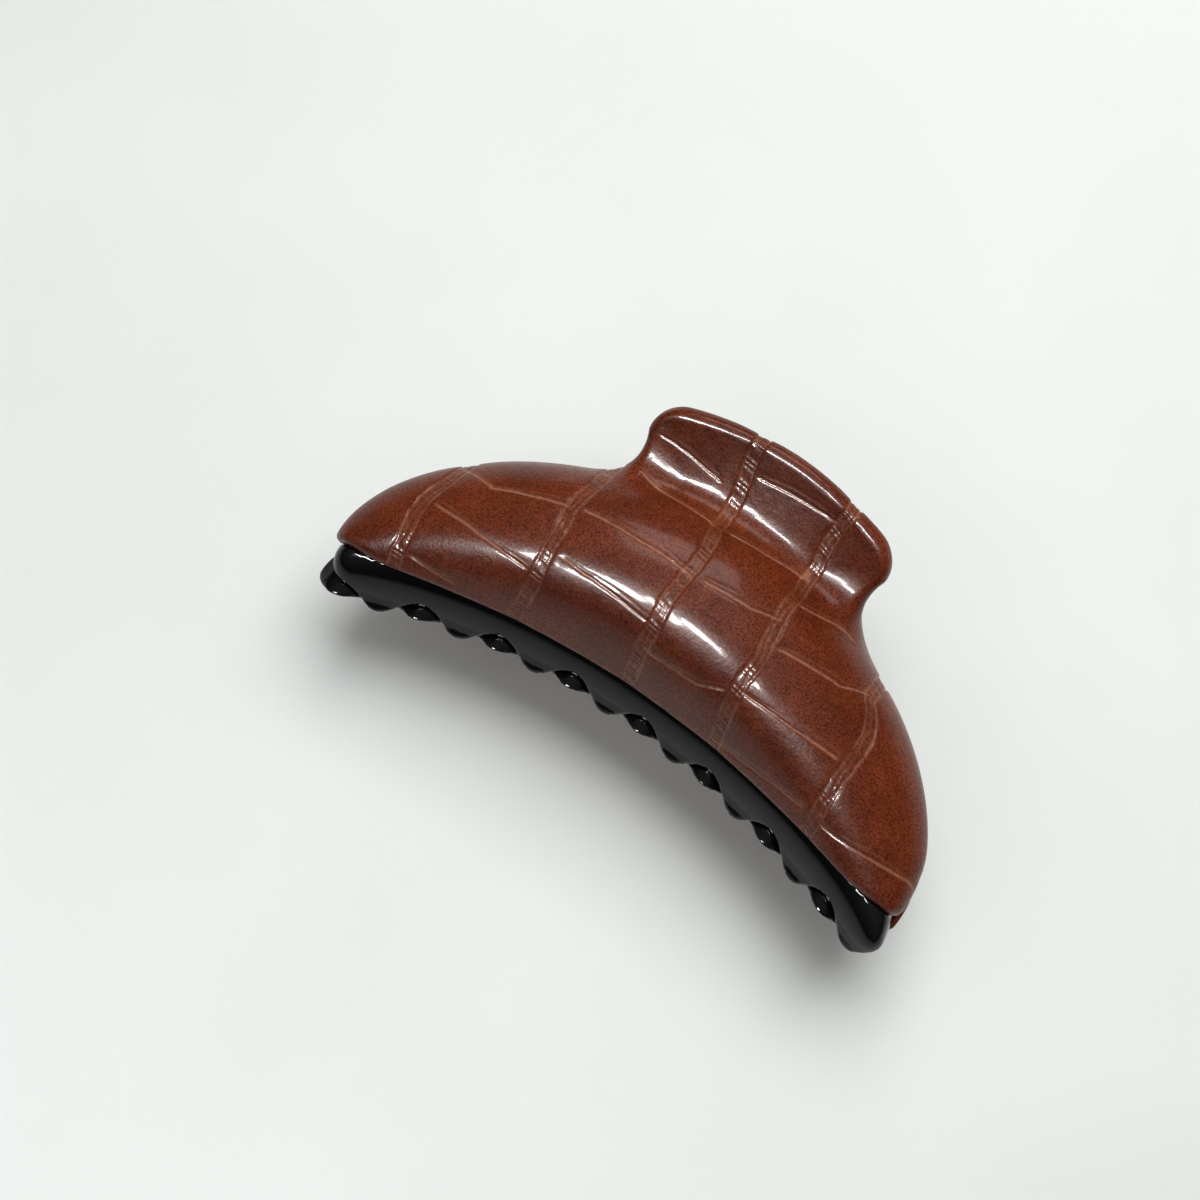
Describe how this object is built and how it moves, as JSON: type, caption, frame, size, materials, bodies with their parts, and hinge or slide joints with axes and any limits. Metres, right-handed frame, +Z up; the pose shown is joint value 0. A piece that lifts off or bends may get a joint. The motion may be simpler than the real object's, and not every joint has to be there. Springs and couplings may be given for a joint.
{
  "type": "claw hair clip",
  "caption": "Large sprung claw hair clip: two domed toothed jaws with crocodile-embossed brown leather skins on one hinge pin.",
  "frame": {"origin": "under the middle of the clip's bounding box, on the surface it lies on", "axes": "+X along the hinge pin and the clip's length, +Y from the teeth to the finger handles, +Z up out of the upper jaw"},
  "size_m": [0.108, 0.0556, 0.0452],
  "materials": {
    "embossed_leather": "glossy crocodile-embossed reddish brown",
    "jaw_plastic": "polished black",
    "plate_plastic": "black",
    "pin_steel": "nickel plated",
    "spring_steel": "bright drawn wire"
  },
  "bodies": {
    "lower_half": {"lower_jaw": "jaw_plastic", "lower_cover_plate": "plate_plastic", "lower_leather_skin": "embossed_leather", "hinge_pin": "pin_steel", "pin_cap": "pin_steel", "torsion_spring": "spring_steel"},
    "upper_half": {"upper_jaw": "jaw_plastic", "upper_cover_plate": "plate_plastic", "upper_leather_skin": "embossed_leather"}
  },
  "joints": [
    {"name": "jaw_hinge", "type": "hinge", "parent": "lower_half", "child": "upper_half", "pos_m": [0, 0.0091, 0.0226], "axis": [-1, 0, 0], "range_deg": [0, 84], "stiffness_Nm_per_rad": 0.06, "springref_deg": -74.48, "deforming": ["torsion_spring"]}
  ]
}
